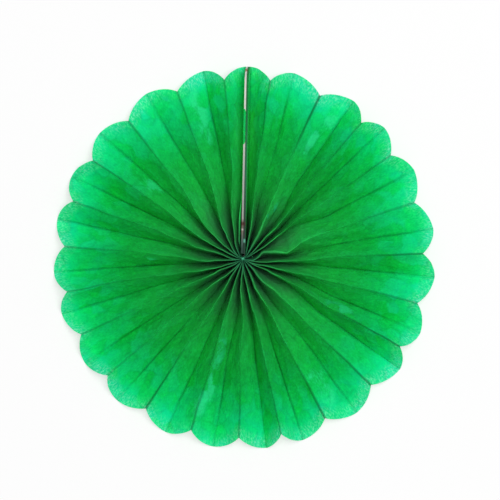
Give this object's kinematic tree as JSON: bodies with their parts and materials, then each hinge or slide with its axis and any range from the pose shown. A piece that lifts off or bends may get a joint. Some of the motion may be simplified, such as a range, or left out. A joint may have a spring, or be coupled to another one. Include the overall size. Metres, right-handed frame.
{
  "type": "pleated paper flower",
  "caption": "Round tissue-paper rosette with a scalloped rim: one pleated sheet opened to a full turn and closed at a seam by two stiff cards.",
  "frame": {"origin": "centre of the rosette in the plane of its back folds, on which it lies", "axes": "+Z along the rosette's axis and out of its front, +Y from the centre along the seam to the rim, +X to the right of the seam seen from the front"},
  "size_m": [0.2491, 0.249, 0.0212],
  "materials": {
    "tissue": "matte",
    "card": "matte",
    "tape": "matte",
    "thread": "matte"
  },
  "bodies": {
    "root": {"tissue_pleats": "tissue", "left_end_card": "card", "right_end_card": "card", "seam_tape": "tape", "centre_thread": "thread"}
  },
  "joints": []
}
